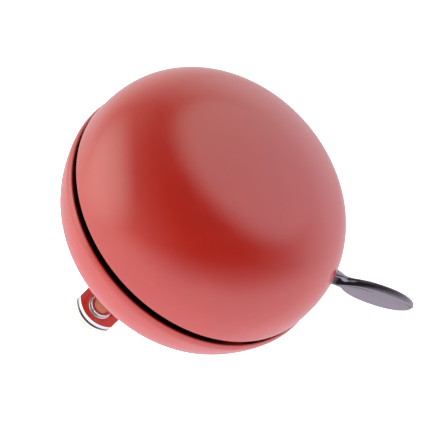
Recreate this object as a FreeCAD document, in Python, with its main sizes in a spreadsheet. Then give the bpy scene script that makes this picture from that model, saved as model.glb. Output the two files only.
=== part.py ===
import FreeCAD, Part
import math
import os
import re

import Sketcher

# A two-tone handlebar bell. Row frame: the origin is the centre of the handlebar clamp's bore,
# +Y runs along the handlebar, +Z points from the clamp up through the gongs to the crown.

DIMENSIONS = {
    # handlebar clamp
    "bar_radius": 11.1, "strap_wall": 1.5, "strap_width": 12.8, "ear_gap": 0.8, "ear_end": 24.9,
    "ear_round": 7.8, "saddle_floor": 13.6, "flank_angle": 25.0,
    "screw_offset": 19.6, "screw_radius": 2.5, "screw_hole": 2.7, "collar_radius": 3.4,
    "collar_rise": 1.6, "screw_end_drop": 0.2, "head_radius": 4.5, "head_rise": 3.0,
    "recess_width": 1.2, "recess_reach": 2.8, "recess_depth": 1.6, "lock_washer": 1.0,
    # gongs
    "rim_plane": 41.4, "gong_wall": 0.8, "gong_radius": 40.0, "skirt_angle": 10.2,
    "shoulder_radius": 21.9, "crown_angle": 59.7, "gong_gap": 2.2, "belly_radius": 40.56,
    "belly_drop": 4.1, "roll_radius": 3.5, "side_angle": 9.1, "side_radius": 38.8,
    "base_angle": 22.4, "gong_floor": 15.9, "fibre": 0.8, "fibre_radius": 9.0,
    "anvil_reach": 32.1, "anvil_width": 4.7, "anvil_wall": 1.6, "anvil_strip": 6.5, "anvil_drop": 7.5,
    "anvil_bite": 0.1, "lug_gap": 0.5, "low_anvil_at": 234.0,
    "high_anvil_at": 40.0, "hub_radius": 6.5, "hub_flange": 10.0, "hub_drop": 11.0, "thread_end": 4.0,
    # centre post and mechanism plate
    "rivet_radius": 4.5, "rivet_rise": 1.2, "post_radius": 4.0, "journal_radius": 3.0,
    "thread_radius": 2.5, "plate_level": 33.0, "plate_wall": 1.5, "plate_radius": 34.0,
    "clip_level": 40.7, "clip_wall": 0.7, "clip_radius": 5.5, "groove_radius": 2.4,
    # lever
    "lever_at": 293.9, "arm_at": 304.3, "lever_travel": 25.0, "pivot_offset": 26.0, "pivot_radius": 2.0,
    "running_gap": 0.05, "blade_level": 35.3, "blade_wall": 2.0, "blade_hub": 5.0, "arm_half": 4.0,
    "arm_reach": 14.0, "arm_end": 24.0, "arm_tip_half": 1.5, "arm_bare": 12.0, "arm_neck": 17.0,
    "arm_near": 0.9, "stop_radius": 1.5, "stop_reach": 4.6,
    "notch_floor": 34.8, "notch_gap": 0.6, "pad_high": 4.45, "pad_thin": 1.25, "pad_reach": 49.0,
    "pad_half": 12.7, "pad_power": 2.1, "neck_reach": 19.5, "neck_half": 3.2, "neck_high": 1.7,
    "neck_shift": 1.9,
    # lever spring
    "coil_radius": 3.3, "wire_radius": 0.35, "coil_pitch": 0.8, "coil_level": 38.1, "leg_reach": 8.0,
    "coil_stop_angle": 30.0, "spring_post_reach": 8.5, "spring_post_radius": 1.0,
    # gear pair, rotor and strikers
    "gear_module": 1.0, "sector_teeth": 40.0, "pinion_teeth": 12.0, "tooth_rise": 0.75,
    "tooth_drop": 1.2, "gap_width": 1.86, "sector_slope": 22.0, "pinion_slope": 27.0,
    "rotor_at": 262.0, "rotor_arm_level": 39.0, "rotor_arm_wall": 1.2, "rotor_arm_half": 4.5,
    "striker_at": 24.0, "striker_radius": 6.5, "striker_hole": 3.0, "striker_wall": 2.4,
    "striker_pin": 1.5, "pin_cap": 4.4, "rotor_boss": 4.0,
}

document = FreeCAD.newDocument("BicycleBell")
sheet = document.addObject("Spreadsheet::Sheet", "Dims")
for row, (alias, number) in enumerate(DIMENSIONS.items(), start=1):
    sheet.set(f"A{row}", alias)
    sheet.set(f"B{row}", str(number))
    sheet.setAlias(f"B{row}", alias)
document.recompute()

subparts = []


def size(expression):
    """The number that an expression of sheet aliases comes to."""
    return float(sheet.evalExpression(expression))


def bound(expression):
    """The same expression, written so that another object can read it from the sheet."""
    return re.sub(r"[a-z_]{3,}", lambda w: "Dims." + w[0] if w[0] in DIMENSIONS else w[0], expression)


def bind(feature, name, expression):
    feature.setExpression(name, bound(expression))


def place(feature, x="0", y="0", z="0", turn="0"):
    """Put a sub-part at a point and turn it about the bell's axis, in degrees."""
    where = f"vector({bound(x)}; {bound(y)}; {bound(z)})"
    feature.setExpression("Placement", f"placement({where}; rotation(vector(0; 0; 1); {bound(turn)}))")


def subpart(feature, label, **placing):
    feature.Label = label
    place(feature, **placing)
    subparts.append(feature)
    return feature


def new_body(label, **placing):
    return subpart(document.addObject("PartDesign::Body", label + "_body"), label, **placing)


def new_sketch(body, role="XY_Plane", level="0"):
    sketch = body.newObject("Sketcher::SketchObject", "Sketch")
    plane = next(f for f in body.Origin.OriginFeatures if f.Role == role)
    sketch.AttachmentSupport = [(plane, "")]
    sketch.MapMode = "FlatFace"
    bind(sketch, "AttachmentOffset.Base.z", level)
    return sketch


def hold(sketch, kind, geometry, point, expression):
    """Pin one coordinate of a sketch point to its distance from the sketch's origin."""
    number = sketch.addConstraint(Sketcher.Constraint(kind, -1, 1, geometry, point, size(expression)))
    bind(sketch, f"Constraints[{number}]", expression)


def arc_between(start, end, radius, side):
    """The short arc from start to end; side 1 keeps its centre on the left of the travel."""
    chord = end - start
    reach = math.sqrt(radius ** 2 - chord.Length ** 2 / 4)
    inward = FreeCAD.Vector(-chord.y, chord.x, 0).normalize() * side
    centre = (start + end) / 2 + inward * reach
    first, last = (start, end) if side > 0 else (end, start)
    angles = [math.atan2(p.y - centre.y, p.x - centre.x) for p in (first, last)]
    circle = Part.Circle(centre, FreeCAD.Vector(0, 0, 1), radius)
    return Part.ArcOfCircle(circle, angles[0], angles[1])


def outline(sketch, corners):
    """A closed outline. A corner is (x, y), or (x, y, radius, side) when an arc leaves it."""
    points = [FreeCAD.Vector(size(c[0]), size(c[1]), 0) for c in corners]
    edges = []
    for start, end, corner in zip(points, points[1:] + points[:1], corners):
        if len(corner) == 2:
            edge = Part.LineSegment(start, end)
            ends = (1, 2)
        else:
            edge = arc_between(start, end, size(corner[2]), corner[3])
            ends = (1, 2) if corner[3] > 0 else (2, 1)
        number = sketch.addGeometry(edge, False)
        edges.append((number, ends))
        if len(corner) == 4:
            radius = sketch.addConstraint(Sketcher.Constraint("Radius", number, size(corner[2])))
            bind(sketch, f"Constraints[{radius}]", corner[2])
    for (number, ends), (after, after_ends) in zip(edges, edges[1:] + edges[:1]):
        sketch.addConstraint(Sketcher.Constraint("Coincident", number, ends[1], after, after_ends[0]))
    for (number, ends), corner in zip(edges, corners):
        hold(sketch, "DistanceX", number, ends[0], corner[0])
        hold(sketch, "DistanceY", number, ends[0], corner[1])


def circle(sketch, radius, x="0", y="0"):
    centre = FreeCAD.Vector(size(x), size(y), 0)
    number = sketch.addGeometry(Part.Circle(centre, FreeCAD.Vector(0, 0, 1), size(radius)), False)
    value = sketch.addConstraint(Sketcher.Constraint("Radius", number, size(radius)))
    bind(sketch, f"Constraints[{value}]", radius)
    hold(sketch, "DistanceX", number, 3, x)
    hold(sketch, "DistanceY", number, 3, y)


def oval(sketch, half_wide, half_high, middle):
    """An ellipse on the sketch's X axis at a distance from its origin, with every size bound."""
    across, along = FreeCAD.Vector(size(half_wide), 0, 0), FreeCAD.Vector(0, size(half_high), 0)
    centre = FreeCAD.Vector(size(middle), 0, 0)
    upright = across.Length < along.Length
    major, minor = (along, across * -1) if upright else (across, along)
    number = sketch.addGeometry(Part.Ellipse(centre + major, centre + minor, centre), False)
    sketch.exposeInternalGeometry(number)
    kinds = [type(shape).__name__ for shape in sketch.Geometry]
    axes = [i for i in range(number + 1, len(kinds)) if kinds[i] == "LineSegment"]
    lengths = (half_high, half_wide) if upright else (half_wide, half_high)
    for axis, half in zip(axes, lengths):
        value = sketch.addConstraint(Sketcher.Constraint("Distance", axis, 2 * size(half)))
        bind(sketch, f"Constraints[{value}]", f"2 * ({half})")
    hold(sketch, "DistanceX", number, 3, middle)
    hold(sketch, "DistanceY", number, 3, "0")
    sketch.addConstraint(Sketcher.Constraint("Vertical" if upright else "Horizontal", axes[0]))


def revolve(body, corners):
    sketch = new_sketch(body, "XZ_Plane")
    outline(sketch, corners)
    feature = body.newObject("PartDesign::Revolution", "Revolution")
    feature.Profile = sketch
    feature.ReferenceAxis = (sketch, ["V_Axis"])
    feature.Angle = 360
    return feature


def pad(body, sketch, height, midplane=False):
    feature = body.newObject("PartDesign::Pad", "Pad")
    feature.Profile = sketch
    bind(feature, "Length", height)
    feature.Midplane = midplane
    return feature


def pocket(body, sketch, depth, upward=False, midplane=False):
    """Cut a sketch's shape from the body, and make sure that it took material away."""
    document.recompute()
    before = body.Shape.Volume
    feature = body.newObject("PartDesign::Pocket", "Pocket")
    feature.Profile = sketch
    bind(feature, "Length", depth)
    feature.Reversed = upward
    feature.Midplane = midplane
    document.recompute()
    if body.Shape.Volume > before - 0.01:
        raise ValueError(f"{body.Label}: a pocket cut nothing")
    return feature


def ring_disc(label, outer, thickness, hole=None, **placing):
    """A flat round piece with an optional centre hole."""
    body = new_body(label, **placing)
    sketch = new_sketch(body)
    circle(sketch, outer)
    if hole:
        circle(sketch, hole)
    pad(body, sketch, thickness)
    return body


PIVOT = ("pivot_offset * cos(lever_at)", "pivot_offset * sin(lever_at)")


def from_pivot(along, across, turn="0"):
    """A place given from the lever's pivot, along and across its arm turned by some degrees."""
    heading = f"(arm_at + {turn})"
    return (f"{PIVOT[0]} + ({along}) * cos({heading}) - ({across}) * sin({heading})",
            f"{PIVOT[1]} + ({along}) * sin({heading}) + ({across}) * cos({heading})")


# ---------------------------------------------------------------- handlebar clamp

HALF_GAP = "ear_gap / 2"
EAR_FACE = f"({HALF_GAP} + strap_wall)"
STRAP_OUTER = "(bar_radius + strap_wall)"
INNER_MEET = f"sqrt(bar_radius ^ 2 - ({HALF_GAP}) ^ 2)"
OUTER_MEET = f"sqrt({STRAP_OUTER} ^ 2 - {EAR_FACE} ^ 2)"
SADDLE_TOP = "(saddle_floor + strap_wall)"
FLANK = ("cos(flank_angle)", "sin(flank_angle)")
# the straight flank leaves the bar's circle at flank_angle and runs up to the flat seat
INNER_SEAT = f"(bar_radius - saddle_floor * {FLANK[1]}) / {FLANK[0]}"
OUTER_SEAT = f"({STRAP_OUTER} - {SADDLE_TOP} * {FLANK[1]}) / {FLANK[0]}"


def round_ear_ends(body):
    """Trim both ends of a clamp strap to an arc, seen from above."""
    half = "strap_width / 2"
    corner = f"ear_end - ear_round + sqrt(ear_round ^ 2 - ({half}) ^ 2)"
    beyond = "ear_end + 2"
    sketch = new_sketch(body)
    outline(sketch, [
        (corner, f"-{half}", "ear_round", 1), (corner, half), (beyond, half), (beyond, f"-{half}")])
    outline(sketch, [
        (f"-({corner})", half, "ear_round", 1), (f"-({corner})", f"-{half}"),
        (f"-({beyond})", f"-{half}"), (f"-({beyond})", half)])
    pocket(body, sketch, "strap_width", midplane=True)


def ear_holes(body, radius):
    sketch = new_sketch(body)
    circle(sketch, radius, "screw_offset")
    circle(sketch, radius, "-screw_offset")
    pocket(body, sketch, "strap_width", midplane=True)


def clamp_saddle():
    """The upper strap: two ears with extruded collars, and a flat seat for the gongs."""
    body = new_body("clamp_saddle")
    right = [
        ("ear_end", HALF_GAP), ("ear_end", EAR_FACE), (OUTER_MEET, EAR_FACE, STRAP_OUTER, 1),
        (f"{STRAP_OUTER} * {FLANK[0]}", f"{STRAP_OUTER} * {FLANK[1]}"), (OUTER_SEAT, SADDLE_TOP)]
    left = [
        (f"-({OUTER_SEAT})", SADDLE_TOP),
        (f"-{STRAP_OUTER} * {FLANK[0]}", f"{STRAP_OUTER} * {FLANK[1]}", STRAP_OUTER, 1),
        (f"-({OUTER_MEET})", EAR_FACE), ("-ear_end", EAR_FACE), ("-ear_end", HALF_GAP)]
    inner = [
        (f"-({INNER_MEET})", HALF_GAP, "bar_radius", -1),
        (f"-bar_radius * {FLANK[0]}", f"bar_radius * {FLANK[1]}"), (f"-({INNER_SEAT})", "saddle_floor"),
        (INNER_SEAT, "saddle_floor"),
        (f"bar_radius * {FLANK[0]}", f"bar_radius * {FLANK[1]}", "bar_radius", -1),
        (INNER_MEET, HALF_GAP)]
    sketch = new_sketch(body, "XZ_Plane")
    outline(sketch, right + left + inner)
    pad(body, sketch, "strap_width", midplane=True)
    round_ear_ends(body)
    collars = new_sketch(body, level=EAR_FACE)
    circle(collars, "collar_radius", "screw_offset")
    circle(collars, "collar_radius", "-screw_offset")
    pad(body, collars, "collar_rise")
    ear_holes(body, "screw_radius")
    seat = new_sketch(body, level="bar_radius")
    circle(seat, "journal_radius")
    pocket(body, seat, "strap_width", upward=True)


def clamp_strap():
    """The lower strap: half a ring with two plain ears."""
    body = new_body("clamp_strap")
    sketch = new_sketch(body, "XZ_Plane")
    outline(sketch, [
        ("ear_end", f"-{EAR_FACE}"), ("ear_end", f"-{HALF_GAP}"),
        (INNER_MEET, f"-{HALF_GAP}", "bar_radius", -1), (f"-({INNER_MEET})", f"-{HALF_GAP}"),
        ("-ear_end", f"-{HALF_GAP}"), ("-ear_end", f"-{EAR_FACE}"),
        (f"-({OUTER_MEET})", f"-{EAR_FACE}", STRAP_OUTER, 1), (OUTER_MEET, f"-{EAR_FACE}")])
    pad(body, sketch, "strap_width", midplane=True)
    round_ear_ends(body)
    ear_holes(body, "screw_hole")


def clamp_screw(label, x):
    """A cross-recessed pan head screw, driven upwards through both ears."""
    seat = f"-({EAR_FACE} + lock_washer)"
    tip = f"{EAR_FACE} + collar_rise - screw_end_drop"
    body = new_body(label, x=x)
    revolve(body, [
        ("0", f"{seat} - head_rise"), ("head_radius / 2", f"{seat} - head_rise", "head_radius", 1),
        ("head_radius", f"{seat} - head_rise / 4"), ("head_radius", seat), ("screw_radius", seat),
        ("screw_radius", f"{tip} - 0.3"), ("screw_radius - 0.3", tip), ("0", tip)])
    cross = new_sketch(body, level=f"{seat} - head_rise")
    half = "recess_width / 2"
    arm = [("recess_reach", f"-{half}"), ("recess_reach", half), (half, half)]
    points = list(arm)
    for _ in range(3):
        arm = [(f"-({y})", x_) for x_, y in arm]
        points += arm
    outline(cross, points)
    pocket(body, cross, "recess_depth", upward=True)


def lock_washer(label, x):
    """A split spring washer under a clamp screw's head."""
    body = ring_disc(label, "head_radius", "lock_washer", "screw_hole", x=x, z=f"-({EAR_FACE} + lock_washer)")
    split = new_sketch(body)
    outline(split, [("0", "-0.4"), ("strap_width", "-0.4"), ("strap_width", "0.4"), ("0", "0.4")])
    pocket(body, split, "lock_washer", upward=True)


# ---------------------------------------------------------------- gongs

def upper_gong():
    """A spun dome: spherical skirt, tighter shoulder and flatter crown, all tangent."""
    skirt = ("cos(skirt_angle)", "sin(skirt_angle)")
    crown = ("cos(crown_angle)", "sin(crown_angle)")
    shoulder = [f"(gong_radius - shoulder_radius) * {share}" for share in skirt]
    crown_radius = f"({shoulder[0]} + shoulder_radius * {crown[0]}) / {crown[0]}"
    crown_centre = f"({shoulder[1]} + shoulder_radius * {crown[1]} - ({crown_radius}) * {crown[1]})"
    wall = "gong_wall"
    body = new_body("upper_gong", z="rim_plane")
    revolve(body, [
        ("gong_radius", "0", "gong_radius", 1),
        (f"gong_radius * {skirt[0]}", f"gong_radius * {skirt[1]}", "shoulder_radius", 1),
        (f"{shoulder[0]} + shoulder_radius * {crown[0]}",
         f"{shoulder[1]} + shoulder_radius * {crown[1]}", crown_radius, 1),
        ("0", f"{crown_centre} + {crown_radius}"),
        ("0", f"{crown_centre} + {crown_radius} - {wall}", f"{crown_radius} - {wall}", -1),
        (f"{shoulder[0]} + (shoulder_radius - {wall}) * {crown[0]}",
         f"{shoulder[1]} + (shoulder_radius - {wall}) * {crown[1]}", f"shoulder_radius - {wall}", -1),
        (f"(gong_radius - {wall}) * {skirt[0]}", f"(gong_radius - {wall}) * {skirt[1]}",
         f"gong_radius - {wall}", -1),
        (f"gong_radius - {wall}", "0")])
    return body, f"({crown_centre} + {crown_radius} - {wall})", f"({crown_radius} - {wall})"


def lower_gong():
    """A deep bowl with a rolled-in lip, a flat floor and a notch for the lever."""
    side = ("cos(side_angle)", "sin(side_angle)")
    base = ("cos(base_angle)", "sin(base_angle)")
    roll_centre = "(belly_radius - roll_radius)"
    side_centre = (
        f"({roll_centre} + (roll_radius - side_radius) * {side[0]})",
        f"((side_radius - roll_radius) * {side[1]} - belly_drop)")
    floor = "(gong_floor - rim_plane)"
    base_radius = f"(({side_centre[1]} - side_radius * {base[1]} - {floor}) / (1 - {base[1]}))"
    base_centre = (
        f"({side_centre[0]} + (side_radius - {base_radius}) * {base[0]})", f"({floor} + {base_radius})")

    def meeting(centre, radius, share, inset):
        """Where an arc about centre ends, inset by the wall on the inner face."""
        reach = f"({radius} - {inset})"
        return f"{centre[0]} + {reach} * {share[0]}", f"{centre[1]} - {reach} * {share[1]}"

    def lip(inset):
        reach = f"sqrt((roll_radius - {inset}) ^ 2 - (belly_drop - gong_gap) ^ 2)"
        return f"{roll_centre} + {reach}", "-gong_gap"

    roll_point = (roll_centre, "-belly_drop")
    wall = "gong_wall"
    body = new_body("lower_gong", z="rim_plane")
    revolve(body, [
        ("journal_radius", floor), (base_centre[0], floor, base_radius, 1),
        (*meeting(base_centre, base_radius, base, "0"), "side_radius", 1),
        (*meeting(roll_point, "roll_radius", side, "0"), "roll_radius", 1), lip("0"),
        (*lip(wall), f"roll_radius - {wall}", -1),
        (*meeting(roll_point, "roll_radius", side, wall), f"side_radius - {wall}", -1),
        (*meeting(base_centre, base_radius, base, wall), f"{base_radius} - {wall}", -1),
        (base_centre[0], f"{floor} + {wall}"), ("journal_radius", f"{floor} + {wall}")])
    notch = new_sketch(body, level="notch_floor - rim_plane")
    side_gap = "(arm_half + notch_gap)"
    outline(notch, [
        from_pivot("6", f"-{side_gap}"), from_pivot("30", f"-{side_gap}"),
        from_pivot("30", side_gap, "lever_travel"), from_pivot("6", side_gap, "lever_travel")])
    pocket(body, notch, "belly_drop", upward=True)
    return body


def anvil(label, gong, corners, turn):
    """A striking lug: an angled strip against a gong's inner wall, cut to the wall's curve."""
    blank = document.addObject("PartDesign::Body", label + "_blank")
    place(blank, turn=turn)
    sketch = new_sketch(blank, "XZ_Plane")
    outline(sketch, corners)
    pad(blank, sketch, "anvil_width", midplane=True)
    cut = document.addObject("Part::Cut", label + "_cut")
    cut.Base = blank
    cut.Tool = gong
    return subpart(cut, label)


def upper_gong_hub(crown_inside, inner_radius):
    """The threaded boss inside the crown, which screws the upper gong onto the post."""
    body = new_body("upper_gong_hub", z="rim_plane")
    foot = f"({crown_inside} - hub_drop)"
    edge = f"({crown_inside} - {inner_radius} + sqrt(({inner_radius}) ^ 2 - hub_flange ^ 2))"
    revolve(body, [
        ("thread_radius", foot), ("hub_radius", foot), ("hub_radius", f"{edge} - 3"),
        ("hub_flange", f"{edge} - 1"), ("hub_flange", edge, inner_radius, 1), ("0", crown_inside),
        ("0", f"{crown_inside} - thread_end"), ("thread_radius", f"{crown_inside} - thread_end")])


# ---------------------------------------------------------------- centre post and plate

INNER_FIBRE = "(gong_floor + gong_wall)"
PLATE_TOP = "(plate_level + plate_wall)"


def centre_post(crown_inside):
    """The stepped post: riveted under the saddle, shoulder, plate seat, journal and top thread."""
    top = f"(rim_plane + {crown_inside} - thread_end - 0.5)"
    clip_top = "(clip_level + clip_wall)"
    body = new_body("centre_post")
    revolve(body, [
        ("0", "saddle_floor - rivet_rise"), ("rivet_radius", "saddle_floor - rivet_rise"),
        ("rivet_radius", "saddle_floor"), ("journal_radius", "saddle_floor"),
        ("journal_radius", f"{INNER_FIBRE} + fibre"), ("post_radius", f"{INNER_FIBRE} + fibre"),
        ("post_radius", "plate_level"), ("journal_radius", "plate_level"),
        ("journal_radius", "clip_level"), ("groove_radius", "clip_level"),
        ("groove_radius", clip_top), ("journal_radius", clip_top), ("journal_radius", f"{clip_top} + 1"),
        ("thread_radius", f"{clip_top} + 1.5"), ("thread_radius", f"{top} - 0.5"),
        ("thread_radius - 0.5", top), ("0", top)])


def mechanism_plate():
    """The round plate that carries the lever's pivot, stops and spring post."""
    body = new_body("mechanism_plate", z="plate_level", turn="lever_at")
    sketch = new_sketch(body)
    circle(sketch, "plate_radius")
    circle(sketch, "journal_radius")
    circle(sketch, "pivot_radius", "pivot_offset")
    pad(body, sketch, "plate_wall")


def peg(label, where, radius, top):
    """A round peg that stands on the mechanism plate."""
    cylinder = document.addObject("Part::Cylinder", label + "_cylinder")
    bind(cylinder, "Radius", radius)
    bind(cylinder, "Height", f"{top} - {PLATE_TOP}")
    subpart(cylinder, label, x=where[0], y=where[1], z=PLATE_TOP)


def lever_pivot_pin():
    """The shouldered pin that the lever and its spring turn about."""
    coil_top = "(coil_level + 3.6 * coil_pitch)"
    body = new_body("lever_pivot_pin", x=PIVOT[0], y=PIVOT[1])
    revolve(body, [
        ("0", "plate_level"), ("pivot_radius", "plate_level"), ("pivot_radius", PLATE_TOP),
        ("blade_hub - 1.5", PLATE_TOP), ("blade_hub - 1.5", "blade_level - 0.1"),
        ("pivot_radius", "blade_level - 0.1"), ("pivot_radius", coil_top), ("coil_radius", coil_top),
        ("coil_radius", f"{coil_top} + 0.4"), ("coil_radius - 0.4", f"{coil_top} + 0.8"),
        ("0", f"{coil_top} + 0.8")])


# ---------------------------------------------------------------- lever

def tooth_gap(body, teeth, slope, first, count):
    """Cut one straight-flanked tooth gap and repeat it round the pitch circle."""
    pitch = f"gear_module * {teeth} / 2"
    low = f"({pitch} - tooth_drop)"
    high = f"({pitch} + tooth_rise + 0.4)"
    half_low = f"(gap_width / 2 - tooth_drop * tan({slope}))"
    half_high = f"(gap_width / 2 + (tooth_rise + 0.4) * tan({slope}))"
    turn = (f"cos({first})", f"sin({first})")
    corners = []
    for along, across in ((low, f"-{half_low}"), (high, f"-{half_high}"), (high, half_high), (low, half_low)):
        corners.append((f"{along} * {turn[0]} - ({across}) * {turn[1]}",
                        f"{along} * {turn[1]} + ({across}) * {turn[0]}"))
    sketch = new_sketch(body)
    outline(sketch, corners)
    gap = pocket(body, sketch, "blade_wall + 1", upward=True)
    pattern = body.newObject("PartDesign::PolarPattern", "Teeth")
    pattern.Originals = [gap]
    pattern.Axis = (sketch, ["N_Axis"])
    steps = count if count == size(teeth) else count - 1
    bind(pattern, "Angle", f"360 / {teeth} * {steps}")
    pattern.Occurrences = count
    body.Tip = pattern


def lever_blade():
    """The steel lever: toothed sector, pivot hub and the arm that leaves the lower gong."""
    tip = "(gear_module * sector_teeth / 2 + tooth_rise)"
    lean = "(arm_at - lever_at)"
    pitch_angle = "(360 / sector_teeth)"
    first, last = f"(180 - {lean} - 4.5 * {pitch_angle})", f"(180 - {lean} + 1.5 * {pitch_angle})"
    body = new_body("lever_blade", x=PIVOT[0], y=PIVOT[1], z="blade_level", turn="arm_at")
    arm = new_sketch(body)
    outline(arm, [
        ("0", "-arm_half"), ("arm_bare", "-arm_half"), ("arm_neck", "-arm_near"), ("arm_end", "-arm_near"),
        ("arm_end", "arm_tip_half"), ("arm_reach", "arm_half"), ("0", "arm_half")])
    pad(body, arm, "blade_wall")
    hub = new_sketch(body)
    circle(hub, "blade_hub")
    pad(body, hub, "blade_wall")
    sector = new_sketch(body)
    outline(sector, [
        ("0", "0"), (f"{tip} * cos({first})", f"{tip} * sin({first})", tip, 1),
        (f"{tip} * cos({last})", f"{tip} * sin({last})")])
    pad(body, sector, "blade_wall")
    tooth_gap(body, "sector_teeth", "sector_slope", f"({first} + {pitch_angle})", 5)
    holes = new_sketch(body)
    circle(holes, "pivot_radius + running_gap")
    circle(holes, "wire_radius + 0.1", "leg_reach", "coil_radius")
    pocket(body, holes, "blade_wall", upward=True)
    return body


def thumb_paddle(blade):
    """The moulded thumb paddle: a neck, flared to one side, that turns into an upright oval."""
    centre = "(pad_reach - pad_half)"

    def height(reach):
        """Half the oval's height at a reach from the pivot."""
        return f"pad_high * (1 - (abs({reach} - {centre}) / pad_half) ^ pad_power) ^ (1 / pad_power)"

    sections = [
        ("neck_reach", "neck_half", "neck_high", "neck_shift"),
        ("neck_reach + 2", "neck_half * 0.9", "neck_high * 1.06", "neck_shift * 0.9"),
        ("neck_reach + 4", "neck_half * 0.66", "neck_high * 1.25", "neck_shift * 0.45"),
        ("neck_reach + 6.5", "pad_thin * 1.15", height("(neck_reach + 6.5)"), "pad_thin * 0.1")]
    for reach in (f"({centre} - 7)", f"({centre} - 3.5)", centre, f"({centre} + 4)", f"({centre} + 7.5)"):
        sections.append((reach, "pad_thin", height(reach), "0"))
    for short, thin in ((2.6, 0.85), (1.2, 0.68), (0.4, 0.45), (0.06, 0.22)):
        reach = f"(pad_reach - {short})"
        sections.append((reach, f"pad_thin * {thin}", height(reach), "0"))
    body = document.addObject("PartDesign::Body", "paddle_blank")
    place(body, PIVOT[0], PIVOT[1], "blade_level + blade_wall / 2", "arm_at")
    sketches = []
    for reach, half_wide, half_high, middle in sections:
        sketch = new_sketch(body, "YZ_Plane", reach)
        oval(sketch, half_wide, half_high, middle)
        sketches.append(sketch)
    loft = body.newObject("PartDesign::AdditiveLoft", "Paddle")
    loft.Profile = sketches[0]
    loft.Sections = sketches[1:]
    cut = document.addObject("Part::Cut", "paddle_cut")
    cut.Base = body
    cut.Tool = blade
    return subpart(cut, "thumb_paddle")


def return_spring():
    """A torsion spring round the pivot pin: one leg in the blade, one against the spring post."""
    turns = 3 - (90 - size("coil_stop_angle")) / 360
    coil, wire = size("coil_radius"), size("wire_radius")
    rise = turns * size("coil_pitch")
    helix = Part.makeHelix(size("coil_pitch"), rise, coil)
    section = Part.Wire(Part.Circle(FreeCAD.Vector(coil, 0, 0), FreeCAD.Vector(0, 1, 0), wire).toShape())
    shape = Part.Wire(helix).makePipeShell([section], True, True)
    shape.rotate(FreeCAD.Vector(), FreeCAD.Vector(0, 0, 1), 90)
    stop = math.radians(size("coil_stop_angle"))
    reach, drop = size("leg_reach"), size("coil_level - blade_level - 0.2")
    legs = [
        (FreeCAD.Vector(0, coil, 0), FreeCAD.Vector(1, 0, 0), reach),
        (FreeCAD.Vector(reach, coil, wire), FreeCAD.Vector(0, 0, -1), drop),
        (FreeCAD.Vector(coil * math.cos(stop), coil * math.sin(stop), rise),
         FreeCAD.Vector(-math.sin(stop), math.cos(stop), 0), size("spring_post_reach + 1.5"))]
    solids = [shape]
    for start, heading, length in legs:
        solids.append(Part.makeCylinder(wire, length, start, heading))
    spring = document.addObject("Part::Feature", "return_spring_shape")
    spring.Shape = Part.Compound(solids)
    return subpart(spring, "return_spring", x=PIVOT[0], y=PIVOT[1], z="coil_level", turn="arm_at")


# ---------------------------------------------------------------- rotor and strikers

def rotor_pinion():
    """The brass pinion, with a boss that the rotor arm is riveted on."""
    body = new_body("rotor_pinion", z="blade_level - 0.1", turn="lever_at")
    sketch = new_sketch(body)
    circle(sketch, "gear_module * pinion_teeth / 2 + tooth_rise")
    pad(body, sketch, "blade_wall + 0.2")
    tooth_gap(body, "pinion_teeth", "pinion_slope", 0, 12)
    boss = new_sketch(body)
    circle(boss, "rotor_boss")
    pad(body, boss, "rotor_arm_level + rotor_arm_wall + 0.2 - blade_level + 0.1")
    hub = new_sketch(body, level="blade_wall + 0.2")
    circle(hub, "rotor_boss + 0.8")
    pad(body, hub, "rotor_arm_level - blade_level - blade_wall - 0.1")
    bore = new_sketch(body)
    circle(bore, "journal_radius + running_gap")
    pocket(body, bore, "strap_width", upward=True)


def rotor_arm():
    """The steel bar across the post that carries both strikers."""
    body = new_body("rotor_arm", z="rotor_arm_level", turn="rotor_at")
    sketch = new_sketch(body)
    outline(sketch, [
        ("-striker_at", "-rotor_arm_half"), ("striker_at", "-rotor_arm_half", "rotor_arm_half", 1),
        ("striker_at + rotor_arm_half", "0", "rotor_arm_half", 1), ("striker_at", "rotor_arm_half"),
        ("-striker_at", "rotor_arm_half", "rotor_arm_half", 1),
        ("-striker_at - rotor_arm_half", "0", "rotor_arm_half", 1)])
    circle(sketch, "rotor_boss")
    circle(sketch, "striker_pin", "striker_at")
    circle(sketch, "striker_pin", "-striker_at")
    pad(body, sketch, "rotor_arm_wall")


def striker_set(name, turn):
    """A loose striker washer and the capped pin that it slides on."""
    arm_top = "(rotor_arm_level + rotor_arm_wall)"
    x, y = f"striker_at * cos({turn})", f"striker_at * sin({turn})"
    pin = new_body("striker_pin_" + name, x=x, y=y)
    cap = f"({arm_top} + striker_wall + 0.6)"
    revolve(pin, [
        ("0", "rotor_arm_level"), ("striker_pin", "rotor_arm_level"), ("striker_pin", cap), ("pin_cap", cap),
        ("pin_cap", f"{cap} + 0.4"), ("pin_cap - 0.4", f"{cap} + 0.8"), ("0", f"{cap} + 0.8")])
    ring_disc("striker_" + name, "striker_radius", "striker_wall", "striker_hole", x=x, y=y,
              z=f"{arm_top} + 0.3")


# ---------------------------------------------------------------- assembly

clamp_saddle()
clamp_strap()
for side, offset in (("left", "-screw_offset"), ("right", "screw_offset")):
    clamp_screw("clamp_screw_" + side, offset)
    lock_washer("lock_washer_" + side, offset)

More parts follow.
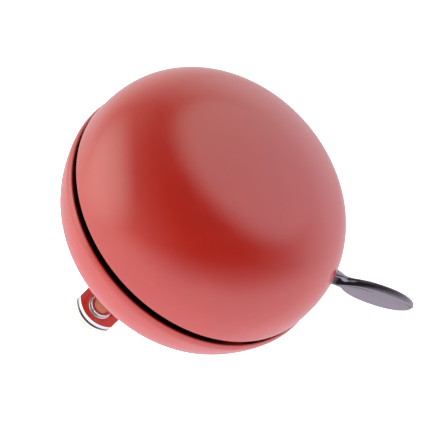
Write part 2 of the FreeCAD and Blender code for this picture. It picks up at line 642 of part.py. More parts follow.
dome, CROWN_INSIDE, CROWN_RADIUS = upper_gong()
bowl = lower_gong()
upper_gong_hub(CROWN_INSIDE, CROWN_RADIUS)
ARM_TOP = "(rotor_arm_level + rotor_arm_wall)"
DOME_WALL = "(gong_radius - gong_wall + anvil_bite)"
DOME_FACE = "(gong_radius - gong_wall - anvil_wall)"
LUG_FOOT = "(rim_plane + lug_gap)"
anvil("upper_anvil", dome, [
    ("anvil_reach", LUG_FOOT), (DOME_WALL, LUG_FOOT), (DOME_WALL, f"{LUG_FOOT} + anvil_strip"),
    (DOME_FACE, f"{LUG_FOOT} + anvil_strip"), (DOME_FACE, f"{LUG_FOOT} + anvil_wall"),
    ("anvil_reach", f"{LUG_FOOT} + anvil_wall")], "high_anvil_at")
LUG_TOP, LUG_BASE = f"({ARM_TOP} + striker_wall)", f"({ARM_TOP} + 0.3)"
LUG_SHOULDER = "(rim_plane - gong_gap - 1.2)"
BOWL_WALL = "(gong_radius - 0.15)"
BOWL_FACE = "(gong_radius - gong_wall - 2.2)"
NECK_FACE = f"({BOWL_FACE} + 1.5)"
anvil("lower_anvil", bowl, [
    ("anvil_reach", LUG_BASE), (BOWL_FACE, LUG_BASE), (BOWL_FACE, "rim_plane - anvil_drop"),
    (BOWL_WALL, "rim_plane - anvil_drop"), (BOWL_WALL, LUG_SHOULDER), (NECK_FACE, LUG_SHOULDER),
    (NECK_FACE, LUG_TOP), ("anvil_reach", LUG_TOP)], "low_anvil_at")
ring_disc("outer_washer", "fibre_radius", "fibre", "journal_radius", z="gong_floor - fibre")
ring_disc("inner_washer", "fibre_radius", "fibre", "journal_radius", z=INNER_FIBRE)

centre_post(CROWN_INSIDE)
mechanism_plate()
lever_pivot_pin()
STOP_OFFSET = "(arm_half + stop_radius + 0.05)"
STOP_TOP = "(blade_level + blade_wall + 0.5)"
peg("rest_stop", from_pivot("stop_reach", f"-{STOP_OFFSET}"), "stop_radius", STOP_TOP)
peg("press_stop", from_pivot("stop_reach", STOP_OFFSET, "lever_travel"), "stop_radius", STOP_TOP)
peg("spring_post",
    from_pivot("coil_radius - wire_radius - spring_post_radius", "spring_post_reach", "coil_stop_angle"),
    "spring_post_radius", "(coil_level + 4 * coil_pitch)")
ring_disc("thrust_washer", "clip_radius", "blade_level - 0.2 - plate_level - plate_wall",
          "journal_radius + running_gap", z=PLATE_TOP)
ring_disc("rotor_clip", "clip_radius", "clip_wall", "groove_radius", z="clip_level")

steel_lever = lever_blade()
thumb_paddle(steel_lever)
return_spring()
rotor_pinion()
rotor_arm()
striker_set("dong", "rotor_at")
striker_set("ding", "rotor_at - 180")

document.recompute()
for thing in document.Objects:
    if {"Invalid", "Error"} & set(thing.State):
        raise ValueError(f"{thing.Label}: {thing.getStatusString()}")
os.makedirs("parts", exist_ok=True)
for piece in subparts:
    if piece.Shape.isNull() or not piece.Shape.isValid():
        raise ValueError(f"{piece.Label} has no valid shape")
    piece.Shape.exportStep(f"parts/{piece.Label}.step")
    print(f"{piece.Label:18s} {piece.Shape.Volume:10.2f} mm3  solids {len(piece.Shape.Solids)}")
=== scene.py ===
from math import asin, atan2, cos, degrees, pi, radians, sin, sqrt

import bmesh
import bpy
from mathutils import Matrix, Vector


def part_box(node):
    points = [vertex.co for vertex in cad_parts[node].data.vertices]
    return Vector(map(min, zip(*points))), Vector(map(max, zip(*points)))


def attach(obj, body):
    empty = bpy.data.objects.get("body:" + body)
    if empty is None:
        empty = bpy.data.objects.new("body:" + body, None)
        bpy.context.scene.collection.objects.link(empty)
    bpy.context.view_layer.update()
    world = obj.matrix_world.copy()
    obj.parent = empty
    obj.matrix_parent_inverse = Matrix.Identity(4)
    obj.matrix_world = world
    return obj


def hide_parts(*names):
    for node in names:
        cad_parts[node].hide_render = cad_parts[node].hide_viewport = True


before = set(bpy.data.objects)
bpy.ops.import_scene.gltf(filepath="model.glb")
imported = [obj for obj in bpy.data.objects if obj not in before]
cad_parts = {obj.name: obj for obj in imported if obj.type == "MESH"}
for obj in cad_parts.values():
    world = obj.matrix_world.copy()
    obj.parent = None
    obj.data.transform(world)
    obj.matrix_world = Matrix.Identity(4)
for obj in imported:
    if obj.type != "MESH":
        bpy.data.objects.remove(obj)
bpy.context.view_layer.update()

# A two-tone bicycle bell. The pieces' own dimensions are in millimetres and become metres by MM.
# All other lengths are in metres. Angles are in degrees where a name holds a plain number. Colours are linear.
MM = 0.001
FLOOR_CLEARANCE = 0.0001
rim_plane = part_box("upper_gong")[0].z / MM
floor_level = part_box("clamp_strap")[0].z - FLOOR_CLEARANCE


def link(thing):
    """Put an object in the scene."""
    bpy.context.scene.collection.objects.link(thing)
    return thing


# ---------------------------------------------------------------- camera

VIEW_AZIMUTH, VIEW_ELEVATION, VIEW_ROLL = radians(178.0), radians(46.0), radians(47.92)
VIEW_DISTANCE, AIM_RIGHT, AIM_UP = 0.400, 0.00233, -0.00191
LENS_MM, SENSOR_MM, NEAREST = 121.9, 36, 0.01

# Unit vectors of the picture: right, up and toward the viewer. The bell lies on its side, so up is rolled.
level = Vector((cos(VIEW_AZIMUTH), sin(VIEW_AZIMUTH), 0))
toward = level * cos(VIEW_ELEVATION) + Vector((0, 0, sin(VIEW_ELEVATION)))
upright = Vector((0, 0, cos(VIEW_ELEVATION))) - level * sin(VIEW_ELEVATION)
sideways = upright.cross(toward)
right = sideways * cos(VIEW_ROLL) + upright * sin(VIEW_ROLL)
up = upright * cos(VIEW_ROLL) - sideways * sin(VIEW_ROLL)
rim_centre = Vector((0, 0, rim_plane * MM))

camera = link(bpy.data.objects.new("camera", bpy.data.cameras.new("camera")))
camera.data.lens = LENS_MM
camera.data.sensor_width = SENSOR_MM
camera.data.clip_start = NEAREST
eye = rim_centre + toward * VIEW_DISTANCE
back = (eye - rim_centre - right * AIM_RIGHT - up * AIM_UP).normalized()
side = up.cross(back).normalized()
camera.matrix_world = Matrix.LocRotScale(
    eye, Matrix((side, back.cross(side), back)).transposed().to_quaternion(), None)
bpy.context.scene.camera = camera


# ---------------------------------------------------------------- materials

class Finish:
    """A material under construction: noise read in the row frame drives colour, gloss and relief."""

    def __init__(self, name, **sockets):
        self.material = bpy.data.materials.new(name)
        self.material.use_nodes = True
        self.tree = self.material.node_tree
        self.shader = self.tree.nodes["Principled BSDF"]
        self.point = self.add("ShaderNodeTexCoord").outputs["Object"]
        for socket, value in sockets.items():
            self.shader.inputs[socket.replace("_", " ")].default_value = value

    def add(self, kind, **settings):
        node = self.tree.nodes.new(kind)
        for key, value in settings.items():
            setattr(node, key, value)
        return node

    def link(self, output, socket):
        self.tree.links.new(output, socket)

    def grain(self, scale, detail=3.0, stretch=(1, 1, 1), turn=(0, 0, 0)):
        """Noise with features of about 1/scale metres, drawn out along the small axes of stretch."""
        mapping = self.add("ShaderNodeMapping")
        mapping.inputs["Scale"].default_value = stretch
        mapping.inputs["Rotation"].default_value = turn
        self.link(self.point, mapping.inputs["Vector"])
        noise = self.add("ShaderNodeTexNoise")
        noise.inputs["Scale"].default_value = scale
        noise.inputs["Detail"].default_value = detail
        self.link(mapping.outputs["Vector"], noise.inputs["Vector"])
        return noise.outputs["Fac"]

    def span(self, value, low, high, start=0.3, end=0.7):
        """A number that runs from low to high as value goes from start to end."""
        node = self.add("ShaderNodeMapRange")
        for socket, number in zip(("From Min", "From Max", "To Min", "To Max"), (start, end, low, high)):
            node.inputs[socket].default_value = number
        self.link(value, node.inputs["Value"])
        return node.outputs["Result"]

    def blend(self, share, first, second):
        """A colour between two colours or colour outputs."""
        node = self.add("ShaderNodeMix", data_type="RGBA")
        self.link(share, node.inputs["Factor"])
        for socket, colour in ((node.inputs[6], first), (node.inputs[7], second)):
            if isinstance(colour, bpy.types.NodeSocket):
                self.link(colour, socket)
            else:
                socket.default_value = (*colour, 1)
        return node.outputs[2]

    def relief(self, *layers):
        """Bumps on bumps: each layer is (height output, depth in metres)."""
        normal = None
        for height, depth in layers:
            bump = self.add("ShaderNodeBump")
            bump.inputs["Distance"].default_value = depth
            self.link(height, bump.inputs["Height"])
            if normal:
                self.link(normal, bump.inputs["Normal"])
            normal = bump.outputs["Normal"]
        self.link(normal, self.shader.inputs["Normal"])

    def colour(self, output):
        self.link(output, self.shader.inputs["Base Color"])

    def gloss(self, output):
        self.link(output, self.shader.inputs["Roughness"])

    def from_axis(self):
        """The distance from the bell's axis."""
        flat = self.add("ShaderNodeVectorMath", operation="MULTIPLY")
        flat.inputs[1].default_value = (1, 1, 0)
        self.link(self.point, flat.inputs[0])
        length = self.add("ShaderNodeVectorMath", operation="LENGTH")
        self.link(flat.outputs["Vector"], length.inputs[0])
        return length.outputs["Value"]


DIP_RADIUS, DIP_EDGE, DIP_BLACK = 0.0385, 0.0002, (0.03, 0.03, 0.032)
STEEL_DARK, STEEL_LIGHT = (0.44, 0.44, 0.45), (0.60, 0.60, 0.60)
STEEL_GLOSS, STEEL_MARKS = (0.20, 0.38), (1, 0.1, 1)


def red_paint():
    """Baked enamel with a slight orange peel."""
    finish = Finish("red_paint", IOR=1.56)
    mottle = finish.span(finish.grain(90), 0, 1)
    finish.colour(finish.blend(mottle, (0.315, 0.0140, 0.0080), (0.335, 0.0160, 0.0092)))
    finish.gloss(finish.span(finish.grain(700), 0.13, 0.18))
    finish.relief((finish.grain(1100, 2), 0.000012), (finish.grain(5000, 1), 0.000001))
    return finish.material


def chrome():
    """Polished plating over a strip with faint rolling marks along the bar."""
    finish = Finish("chrome", Metallic=1.0)
    mottle = finish.span(finish.grain(300), 0, 1)
    finish.colour(finish.blend(mottle, (0.52, 0.53, 0.55), (0.60, 0.60, 0.61)))
    finish.gloss(finish.span(finish.grain(900, 4), 0.06, 0.16))
    finish.relief((finish.grain(500, 2), 0.000010), (finish.grain(3000, 3, (1, 0.08, 1)), 0.000002))
    return finish.material


def black_gloss():
    """Glossy moulding with a lilac sheen and light scuffs."""
    finish = Finish("black_gloss", IOR=2.3, Specular_Tint=(0.94, 0.84, 0.98, 1))
    mottle = finish.span(finish.grain(800), 0, 1)
    finish.colour(finish.blend(mottle, (0.0035, 0.003, 0.004), (0.008, 0.007, 0.009)))
    scuffs = finish.grain(900, 4, (0.12, 1, 1), (0, 0, radians(30)))
    finish.gloss(finish.span(scuffs, 0.08, 0.20, 0.5, 0.75))
    finish.relief((finish.grain(350, 2), 0.000012), (finish.grain(4000, 2), 0.0000015))
    return finish.material


def worked_metal(name, dark, light, low, high, stretch=(1, 1, 1), dipped=None):
    """A metal with tool marks drawn out along one axis, from low to high roughness.
    dipped is the distance from the bell's axis beyond which the metal is coated black."""
    finish = Finish(name, Metallic=1.0)
    marks = finish.grain(2600, 4, stretch)
    tint = finish.blend(finish.span(finish.grain(450), 0, 1), dark, light)
    if dipped:
        coated = finish.span(finish.from_axis(), 0, 1, dipped - DIP_EDGE, dipped)
        tint = finish.blend(coated, tint, DIP_BLACK)
    finish.colour(tint)
    finish.gloss(finish.span(marks, low, high))
    finish.relief((marks, 0.000006), (finish.grain(600, 2), 0.000010))
    return finish.material


def yellow_zinc():
    """Passivated plating that is straw yellow with rosy patches."""
    finish = Finish("yellow_zinc", Metallic=0.6)
    tint = finish.blend(finish.span(finish.grain(260), 0, 1), (0.62, 0.50, 0.30), (0.76, 0.66, 0.46))
    finish.colour(finish.blend(finish.span(finish.grain(520), 0, 0.5, 0.5, 0.7), tint, (0.62, 0.50, 0.42)))
    finish.gloss(finish.span(finish.grain(1500, 4), 0.32, 0.48))
    finish.relief((finish.grain(2200, 3), 0.000008))
    return finish.material


def fibre():
    """Pressed red-brown sheet whose threads show."""
    finish = Finish("fibre", IOR=1.45)
    threads = finish.grain(2400, 5, (1, 0.15, 1), (0, 0, radians(25)))
    finish.colour(finish.blend(finish.span(threads, 0, 1), (0.075, 0.030, 0.022), (0.15, 0.062, 0.045)))
    finish.gloss(finish.span(threads, 0.70, 0.88))
    finish.relief((threads, 0.00003))
    return finish.material


FINISHES = {
    "red_paint": red_paint(), "chrome": chrome(), "black_gloss": black_gloss(),
    "bright_steel": worked_metal("bright_steel", STEEL_DARK, STEEL_LIGHT, *STEEL_GLOSS, STEEL_MARKS),
    "spring_steel": worked_metal("spring_steel", (0.30, 0.30, 0.32), (0.45, 0.45, 0.46), 0.25, 0.40),
    "yellow_zinc": yellow_zinc(), "fibre": fibre(),
    "brass": worked_metal("brass", (0.62, 0.42, 0.13), (0.76, 0.56, 0.22), 0.20, 0.36, (1, 1, 0.1)),
}


# ---------------------------------------------------------------- pieces

def piece(name, mesh, body, finish, *nodes):
    """A new mesh object that rides on a body and stands for CAD nodes."""
    thing = link(bpy.data.objects.new(name, mesh))
    mesh.materials.clear()
    mesh.materials.append(FINISHES[finish])
    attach(thing, body)
    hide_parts(*nodes)
    return thing


def soften(thing, width, segments=3, angle=35.0):
    """Round every edge that is sharper than an angle."""
    bevel = thing.modifiers.new("soften", "BEVEL")
    bevel.width = width * MM
    bevel.segments = segments
    bevel.limit_method = "ANGLE"
    bevel.angle_limit = radians(angle)
    bevel.harden_normals = True


MERGE_DISTANCE, FLAT_ANGLE = 1e-7, 1.0


def reworked(mesh, step):
    """The same mesh with its doubled points merged, one step done to it, and smooth shading."""
    work = bmesh.new()
    work.from_mesh(mesh)
    bmesh.ops.remove_doubles(work, verts=work.verts, dist=MERGE_DISTANCE)
    step(work)
    for face in work.faces:
        face.smooth = True
    work.to_mesh(mesh)
    work.free()
    return mesh


def face_outward(work):
    bmesh.ops.recalc_face_normals(work, faces=work.faces)


def join_flats(work):
    """Make one face of faces that lie in one plane."""
    bmesh.ops.dissolve_limit(work, angle_limit=radians(FLAT_ANGLE), verts=work.verts, edges=work.edges)


def smooth_mesh(name, points, faces):
    """A smooth-shaded mesh from points in millimetres, with its normals outward."""
    mesh = bpy.data.meshes.new(name)
    mesh.from_pydata([[MM * x for x in p] for p in points], [], faces)
    return reworked(mesh, face_outward)


def crease(mesh, angle=60.0):
    """Keep edges that are sharper than an angle crisp under smooth shading."""
    work = bmesh.new()
    work.from_mesh(mesh)
    for edge in work.edges:
        if len(edge.link_faces) == 2 and edge.calc_face_angle() > radians(angle):
            edge.smooth = False
    work.to_mesh(mesh)
    work.free()


def bend(centre, radius, start, end, steps):
    """Points of an arc in the half plane of radius and height."""
    points = []
    for i in range(steps + 1):
        angle = radians(start + (end - start) * i / steps)
        points.append((centre[0] + radius * cos(angle), centre[1] + radius * sin(angle)))
    return points


# ---------------------------------------------------------------- gongs

WALL, RIM_ROUND, LIP_ROUND = 0.8, 0.25, 0.39
COLUMNS, FEWEST_IN_GAP = 360, 4


def spun(profile, shift, gap=None):
    """Points and faces of a closed profile that is spun about the bell's axis and lifted by shift.
    gap is a cut in it: its first and last row, and its two edges, each an azimuth as a function of radius."""
    rows = len(profile)
    points, faces = [], []
    if gap:
        first, last, start, end = gap
        opens, closes = (edge(profile[first][0]) for edge in (start, end))
        width = closes - opens
        inside = max(FEWEST_IN_GAP, round(COLUMNS * width / (2 * pi)))
        rest = COLUMNS - inside
        turns = [opens + width * i / inside for i in range(inside)]
        turns += [closes + (2 * pi - width) * i / rest for i in range(rest)]
    else:
        inside = 0
        turns = [2 * pi * i / COLUMNS for i in range(COLUMNS)]
    for i, turn in enumerate(turns):
        for k, (radius, height) in enumerate(profile):
            angle = turn
            if gap and first <= k <= last and i in (0, inside):
                angle = (start if i == 0 else end)(radius)
            points.append((radius * cos(angle), radius * sin(angle), height + shift))
    for i in range(COLUMNS):
        here, beside = i * rows, (i + 1) % COLUMNS * rows
        for k in range(rows):
            after = (k + 1) % rows
            if gap and i < inside and first <= k < last:
                continue
            faces.append((here + k, here + after, beside + after, beside + k))
        if gap and i < inside:
            faces.append((here + first, here + last, beside + last, beside + first))
        if gap and i in (0, inside):
            faces.append(tuple(here + k for k in range(first, last + 1)))
    return points, faces


# The dome: skirt, shoulder and crown arcs that meet smoothly.
SKIRT_ANGLE, SHOULDER_RADIUS, CROWN_ANGLE = 10.2, 21.9, 59.7
SKIRT_STEPS, SHOULDER_STEPS, CROWN_STEPS, RIM_STEPS = 12, 48, 40, 4
gong_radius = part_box("upper_gong")[1].x / MM
shoulder_at = tuple((gong_radius - SHOULDER_RADIUS) * f(radians(SKIRT_ANGLE)) for f in (cos, sin))
crown_radius = (shoulder_at[0] + SHOULDER_RADIUS * cos(radians(CROWN_ANGLE))) / cos(radians(CROWN_ANGLE))
crown_at = (0, shoulder_at[1] + (SHOULDER_RADIUS - crown_radius) * sin(radians(CROWN_ANGLE)))


def dome_wall(inset):
    """The dome's section from the rim to the axis, inset from its outer face."""
    lift = degrees(asin(RIM_ROUND / (gong_radius - inset)))
    return (bend((0, 0), gong_radius - inset, lift, SKIRT_ANGLE, SKIRT_STEPS)
            + bend(shoulder_at, SHOULDER_RADIUS - inset, SKIRT_ANGLE, CROWN_ANGLE, SHOULDER_STEPS)[1:]
            + bend(crown_at, crown_radius - inset, CROWN_ANGLE, 90, CROWN_STEPS)[1:])


outer, inner = dome_wall(0), dome_wall(WALL)
outer[-1], inner[-1] = (0, outer[-1][1]), (0, inner[-1][1])
rim = (bend((gong_radius - WALL + RIM_ROUND, RIM_ROUND), RIM_ROUND, 180, 270, RIM_STEPS)[1:]
       + bend((gong_radius - RIM_ROUND, RIM_ROUND), RIM_ROUND, 270, 360, RIM_STEPS)[:-1])
points, faces = spun(outer + inner[::-1] + rim, rim_plane)
piece("dome_shell", smooth_mesh("dome_shell", points, faces), "bell", "red_paint", "upper_gong")

# The bowl: rolled-in lip, side and base arcs that meet smoothly, and a flat floor with the post's hole.
# Heights are from the dome's rim.
BELLY_RADIUS, BELLY_DROP, ROLL_RADIUS, LIP_DROP = 40.56, 4.1, 3.5, 2.2
SIDE_RADIUS, SIDE_ANGLE, BASE_ANGLE, WASHER_TO_HOLE = 38.8, 9.1, 22.4, 3
BASE_STEPS, SIDE_STEPS, ROLL_STEPS, LIP_STEPS = 40, 16, 14, 5
BOWL_EDGE, BOWL_EDGE_STEPS = 0.2, 2
bowl_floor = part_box("lower_gong")[0].z / MM - rim_plane
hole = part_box("inner_washer")[1].x / MM / WASHER_TO_HOLE
roll_at = (BELLY_RADIUS - ROLL_RADIUS, -BELLY_DROP)
side_at = (roll_at[0] + (ROLL_RADIUS - SIDE_RADIUS) * cos(radians(SIDE_ANGLE)),
           roll_at[1] - (ROLL_RADIUS - SIDE_RADIUS) * sin(radians(SIDE_ANGLE)))
side_foot = side_at[1] - SIDE_RADIUS * sin(radians(BASE_ANGLE))
base_radius = (side_foot - bowl_floor) / (1 - sin(radians(BASE_ANGLE)))
base_at = (side_at[0] + (SIDE_RADIUS - base_radius) * cos(radians(BASE_ANGLE)), bowl_floor + base_radius)
lip_angle = degrees(asin((BELLY_DROP - LIP_DROP) / ROLL_RADIUS))


def bowl_wall(inset):
    """The bowl's section from its floor to the start of its lip's round, inset from the outer face."""
    roll_end = lip_angle - degrees(LIP_ROUND / ROLL_RADIUS)
    return (bend(base_at, base_radius - inset, -90, -BASE_ANGLE, BASE_STEPS)
            + bend(side_at, SIDE_RADIUS - inset, -BASE_ANGLE, -SIDE_ANGLE, SIDE_STEPS)[1:]
            + bend(roll_at, ROLL_RADIUS - inset, -SIDE_ANGLE, roll_end, ROLL_STEPS)[1:])


def lip_corner(inset, start):
    """One rounded corner of the lip, which is cut square to the rolled wall."""
    outward = radians(lip_angle)
    reach = ROLL_RADIUS - inset
    centre = (roll_at[0] + reach * cos(outward) + LIP_ROUND * sin(outward),
              roll_at[1] + reach * sin(outward) - LIP_ROUND * cos(outward))
    return bend(centre, LIP_ROUND, lip_angle + start, lip_angle + start + 90, LIP_STEPS)


# The lever's notch: two straight sides in the arm's frame, the far one turned by the lever's travel.
PIVOT_TURN, PIVOT_REACH, ARM_TURN, TRAVEL = radians(293.9), 26.0, radians(304.3), radians(25.0)
NOTCH_HALF, NOTCH_FLOOR = 4.6, 34.8
pivot = Vector((cos(PIVOT_TURN), sin(PIVOT_TURN), 0)) * PIVOT_REACH


def notch_side(heading, offset):
    """The azimuth at which one side of the notch crosses a given radius."""
    ahead = Vector((cos(heading), sin(heading), 0))
    start = pivot + Vector((-ahead.y, ahead.x, 0)) * offset

    def crossing(radius):
        half = start.dot(ahead)
        point = start + ahead * (sqrt(half ** 2 - start.length_squared + radius ** 2) - half)
        return atan2(point.y, point.x) % (2 * pi)
    return crossing


outer, inner = bowl_wall(0), bowl_wall(WALL)
lip = lip_corner(LIP_ROUND, 0)[1:] + lip_corner(WALL - LIP_ROUND, 90)[:-1]
profile = [(hole, bowl_floor)] + outer + lip + inner[::-1] + [(hole, bowl_floor + WALL)]
cut_height = NOTCH_FLOOR - rim_plane
above = [k for k, (radius, height) in enumerate(profile) if height > cut_height and radius > BELLY_RADIUS / 2]


def cut_point(low, high):
    """The point at the notch's floor on the section's line between two of its points."""
    share = (cut_height - low[1]) / (high[1] - low[1])
    return (low[0] + (high[0] - low[0]) * share, cut_height)


start_row, end_row = above[0], above[-1]
profile = (profile[:start_row] + [cut_point(profile[start_row - 1], profile[start_row])]
           + profile[start_row:end_row + 1] + [cut_point(profile[end_row + 1], profile[end_row])]
           + profile[end_row + 1:])
points, faces = spun(profile, rim_plane, (
    start_row, end_row + 2, notch_side(ARM_TURN, -NOTCH_HALF), notch_side(ARM_TURN + TRAVEL, NOTCH_HALF)))
bowl = piece("bowl_shell", smooth_mesh("bowl_shell", points, faces), "bell", "red_paint", "lower_gong")
soften(bowl, BOWL_EDGE, BOWL_EDGE_STEPS)


# ---------------------------------------------------------------- thumb paddle

# Sections across the arm, as corners of a smooth curve, each (across, up).
# The neck's are in millimetres. In the pad's, up is a share of the pad's half height.
NECK = (
    (1.6, 1.5), (1.1, 1.15), (0.75, 0.98), (0.45, 0.88), (-0.2, 0.40), (-0.8, -0.07), (-1.15, -0.4),
    (-1.23, -0.55), (-1.2, -0.72), (-1.12, -0.88), (-0.98, -1.05), (-0.75, -1.32), (-0.4, -1.58),
    (1.6, -1.68), (4.2, -0.95), (4.6, -0.2), (4.1, 0.45), (3.0, 1.05))
PAD = (
    (1.05, 0.93), (0.85, 0.985), (0.72, 1.0), (0.55, 0.985), (-0.2, 0.90), (-0.85, 0.79), (-1.22, 0.67),
    (-1.05, 0.52), (-0.66, 0.22), (-0.47, -0.1), (-0.75, -0.55), (-0.95, -0.8), (-0.7, -0.97),
    (0.2, -0.96), (1.1, -0.55), (1.22, -0.1), (1.25, 0.35), (1.18, 0.75))
NECK_REACH, PAD_REACH, PAD_CENTRE, PAD_HALF = 17.8, 49.0, 36.3, 4.45
NECK_HALF, OVAL_POWER, MERGE_POWER, TIP_POWER = 1.6, 2.1, 6, 0.6
# Where the section changes along the arm: its width, its back's and face's height, and the neck's flare.
WIDENING, BACK_RISE, FACE_RISE, FLARING = (20.0, 28.0), (19.5, 27.5), (21.0, 24.5), (16.5, 20.0)
BACK_CORNERS_ABOVE, FLARED_CORNERS_BEYOND, LEAST_FLARE = 0.5, 2, 0.5
RINGS, RING_CROWDING, STEPS = 96, 1.7, 6

arm = Vector((cos(ARM_TURN), sin(ARM_TURN), 0))
across = Vector((-arm.y, arm.x, 0))
arm_level = (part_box("lever_blade")[0].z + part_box("lever_blade")[1].z) / 2 / MM


def ease(value, start, end):
    """0 before start, 1 after end, and a smooth rise between them."""
    share = max(0.0, min(1.0, (value - start) / (end - start)))
    return share * share * (3 - 2 * share)


def spline(p, q, r, s, t):
    """A Catmull-Rom spline's value at the share t of the way from q to r."""
    square = 2 * p - 5 * q + 4 * r - s
    cube = 3 * q - p - 3 * r + s
    return 0.5 * (2 * q + (r - p) * t + square * t * t + cube * t ** 3)


def rounded(corners, steps):
    """A smooth closed curve through corners, with a number of steps from each one to the next."""
    count = len(corners)
    curve = []
    for i in range(count):
        nearby = [corners[(i + k) % count] for k in (-1, 0, 1, 2)]
        curve += [tuple(spline(*values, k / steps) for values in zip(*nearby)) for k in range(steps)]
    return curve


def oval(reach):
    """Half height of the pad's outline at a reach from the pivot."""
    share = min(1.0, abs((reach - PAD_CENTRE) / (PAD_REACH - PAD_CENTRE)))
    return PAD_HALF * (1 - share ** OVAL_POWER) ** (1 / OVAL_POWER)


def paddle_section(reach):
    """The closed section of the neck, of the pad, or of the blend between them."""
    half = oval(reach)
    if reach > PAD_CENTRE:
        thick, grown = (half / PAD_HALF) ** TIP_POWER, half
    else:
        thick, grown = 1.0, (NECK_HALF ** MERGE_POWER + half ** MERGE_POWER) ** (1 / MERGE_POWER)
    wide_share, back_share, face_share = (ease(reach, *span) for span in (WIDENING, BACK_RISE, FACE_RISE))
    flare = LEAST_FLARE + (1 - LEAST_FLARE) * ease(reach, *FLARING)
    corners = []
    for (neck_wide, neck_high), (pad_wide, pad_high) in zip(NECK, PAD):
        wide = neck_wide * (flare if neck_wide > FLARED_CORNERS_BEYOND else 1)
        high_share = back_share if neck_high > BACK_CORNERS_ABOVE else face_share
        corners.append((wide + (pad_wide * thick - wide) * wide_share,
                        neck_high + (pad_high * grown - neck_high) * high_share))
    return rounded(corners, STEPS)


points, faces = [], []
for i in range(RINGS + 1):
    reach = NECK_REACH + (PAD_REACH - NECK_REACH) * (1 - (1 - i / RINGS) ** RING_CROWDING)
    for wide, high in paddle_section(reach):
        spot = pivot + arm * reach + across * wide
        points.append((spot.x, spot.y, arm_level + high))
ring = len(NECK) * STEPS
for i in range(RINGS):
    for k in range(ring):
        after = (k + 1) % ring
        faces.append((i * ring + k, i * ring + after, (i + 1) * ring + after, (i + 1) * ring + k))
faces.append(tuple(range(ring)))
paddle_mesh = smooth_mesh("paddle", points, faces)
crease(paddle_mesh)
piece("paddle", paddle_mesh, "lever", "black_gloss", "thumb_paddle")


# ---------------------------------------------------------------- clamp and fastenings

CLAMP_EDGE, BLADE_EDGE, SCREW_EDGE, WASHER_EDGE = 0.3, 0.12, 0.15, 0.12
COVERED_REACH, TOP_SLOPE, BOTTOM_SLOPE = 16.0, 1.8, 0.3


def eased(node, body, finish, width):
    """A new piece with the CAD node's shape, whose sharp edges are broken."""
    mesh = reworked(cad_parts[node].data.copy(), join_flats)
    mesh.name = node + "_eased"
    thing = piece(node + "_eased", mesh, body, finish, node)
    soften(thing, width)
    return thing


def slope_near_side(mesh):
    """Slope the blade's near side where the paddle's neck covers it."""
    for vertex in mesh.vertices:
        from_pivot = vertex.co / MM - pivot
        if from_pivot.dot(arm) > COVERED_REACH and from_pivot.dot(across) < 0:
            shift = TOP_SLOPE if vertex.co.z / MM > arm_level else BOTTOM_SLOPE
            vertex.co += across * shift * MM


for node in ("clamp_saddle", "clamp_strap"):
    eased(node, "bell", "chrome", CLAMP_EDGE)
blade = eased("lever_blade", "lever", "bright_steel", BLADE_EDGE).data
slope_near_side(blade)
blade.materials[0] = worked_metal(
    "dipped_steel", STEEL_DARK, STEEL_LIGHT, *STEEL_GLOSS, STEEL_MARKS, dipped=DIP_RADIUS)
for side in ("left", "right"):
    eased("clamp_screw_" + side, "bell", "yellow_zinc", SCREW_EDGE)
    eased("lock_washer_" + side, "bell", "bright_steel", WASHER_EDGE)


# ---------------------------------------------------------------- finishes of the CAD nodes

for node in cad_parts.values():
    for holder in node.material_slots:
        holder.material = FINISHES[holder.material.name]


# ---------------------------------------------------------------- studio

FLOOR_HALF, FLOOR_GREY = 3.0, 0.5
GLOW_BENEATH, GLOW_AROUND, GLOW_FADE = 4.3, 1.2, (0.0272, 0.0891)

floor_mesh = bpy.data.meshes.new("floor")
corners = [(x * FLOOR_HALF, y * FLOOR_HALF, floor_level) for x, y in ((-1, -1), (1, -1), (1, 1), (-1, 1))]
floor_mesh.from_pydata(corners, [], [(0, 1, 2, 3)])
floor = link(bpy.data.objects.new("floor", floor_mesh))
pale = Finish("pale_floor", Base_Color=(FLOOR_GREY, FLOOR_GREY, FLOOR_GREY, 1), Roughness=0.6,
              Specular_IOR_Level=0.0, Emission_Color=(1, 1, 1, 1))
# The floor glows brighter toward the bell's axis: painted light, a glowing pool under the bell that lights its
# underside from below.
glow = pale.span(pale.from_axis(), GLOW_BENEATH, GLOW_AROUND, *GLOW_FADE)
pale.link(glow, pale.shader.inputs["Emission Strength"])
floor_mesh.materials.append(pale.material)
floor.visible_glossy = False

# A white tent around the bell. Its walls are bright at the left, at the upper right, below and behind,
# and it is dark where it opens toward the viewer. The part straight behind is dimmed by shade.
world = bpy.data.worlds.new("studio")
bpy.context.scene.world = world
world.use_nodes = True
tree = world.node_tree


def world_node(kind, **settings):
    node = tree.nodes.new(kind)
    for key, value in settings.items():
        setattr(node, key, value)
    return node


def along(axis):
    """How far a direction of the sky points along an axis."""
    node = world_node("ShaderNodeVectorMath", operation="DOT_PRODUCT")
    node.inputs[1].default_value = axis
    tree.links.new(direction, node.inputs[0])
    return node.outputs["Value"]


def wall(axis, start, end, strength):
    """Light that rises from none to full strength between two shares of an axis."""
    node = world_node("ShaderNodeMapRange", interpolation_type="SMOOTHSTEP")
    for socket, value in (("From Min", start), ("From Max", end), ("To Max", strength)):
        node.inputs[socket].default_value = value
    tree.links.new(along(axis), node.inputs["Value"])
    return node.outputs["Result"]


def combine(operation, first, second):
    node = world_node("ShaderNodeMath", operation=operation)
    for socket, value in zip(node.inputs, (first, second)):
        if isinstance(value, bpy.types.NodeSocket):
            tree.links.new(value, socket)
        else:
            socket.default_value = value
    return node.outputs[0]


def heading(to_right, to_top, to_viewer):
    """A unit direction in the row frame from its shares of the picture's axes."""
    return (right * to_right + up * to_top + toward * to_viewer).normalized()


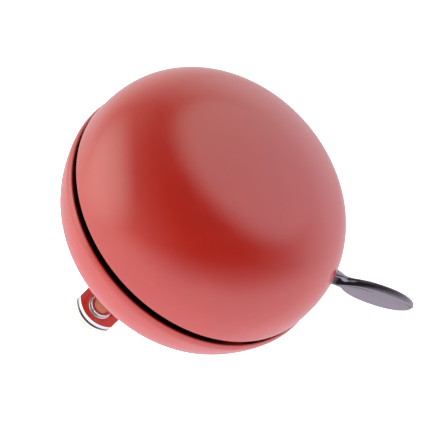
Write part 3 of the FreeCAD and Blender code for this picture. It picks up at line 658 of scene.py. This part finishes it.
DARKEST, BACKDROP = 0.06, 1.2
WARM, LILAC = (1.0, 1.02, 0.97, 1), (1.0, 0.95, 1.03, 1)

direction = world_node("ShaderNodeTexCoord").outputs["Generated"]
strength = combine("ADD", wall(heading(-0.78, -0.21, -0.59), -0.94, 0.57, 1.08),
                   wall(heading(-0.93, 0.36, 0.10), 0.67, 1.05, 2.46))
for axis, start, end, brightness in (
        (heading(0.73, 0.67, 0.12), 0.69, 0.87, 2.19),
        (heading(-0.19, -0.69, -0.69), -0.69, 0.31, 2.22),
        (heading(0.24, -0.08, -0.97), -0.43, 0.72, 2.35)):
    strength = combine("MAXIMUM", strength, wall(axis, start, end, brightness))
shade = combine("SUBTRACT", 1.0, wall(-toward, -0.32, 2.18, 1.28))
strength = combine("MULTIPLY", combine("MAXIMUM", strength, DARKEST), shade)
seen = world_node("ShaderNodeLightPath").outputs["Is Camera Ray"]
strength = combine("MAXIMUM", strength, combine("MULTIPLY", seen, BACKDROP))
cast = world_node("ShaderNodeMix", data_type="RGBA")
tree.links.new(wall(heading(-0.6, 0.78, 0.2), -0.3, 0.8, 1.0), cast.inputs["Factor"])
cast.inputs[6].default_value = LILAC
cast.inputs[7].default_value = WARM
tree.links.new(strength, tree.nodes["Background"].inputs["Strength"])
tree.links.new(cast.outputs[2], tree.nodes["Background"].inputs["Color"])

LAMP_DISTANCE, LAMP_SIZE = 0.8, 0.35


def soft_light(name, ahead, watts):
    """A square area light that faces the bell and gives no reflection of its own."""
    lamp = bpy.data.lights.new(name, "AREA")
    lamp.shape = "SQUARE"
    lamp.size = LAMP_SIZE
    lamp.energy = watts
    thing = link(bpy.data.objects.new(name, lamp))
    thing.matrix_world = Matrix.LocRotScale(
        rim_centre + ahead * LAMP_DISTANCE, ahead.to_track_quat("Z", "Y"), None)
    thing.visible_glossy = False
    thing.visible_camera = False


soft_light("key", heading(-0.74, 0.30, 0.58), 2.8)
soft_light("fill", heading(0.20, -0.82, 0.53), 2.0)
bpy.context.scene.view_settings.view_transform = "Standard"
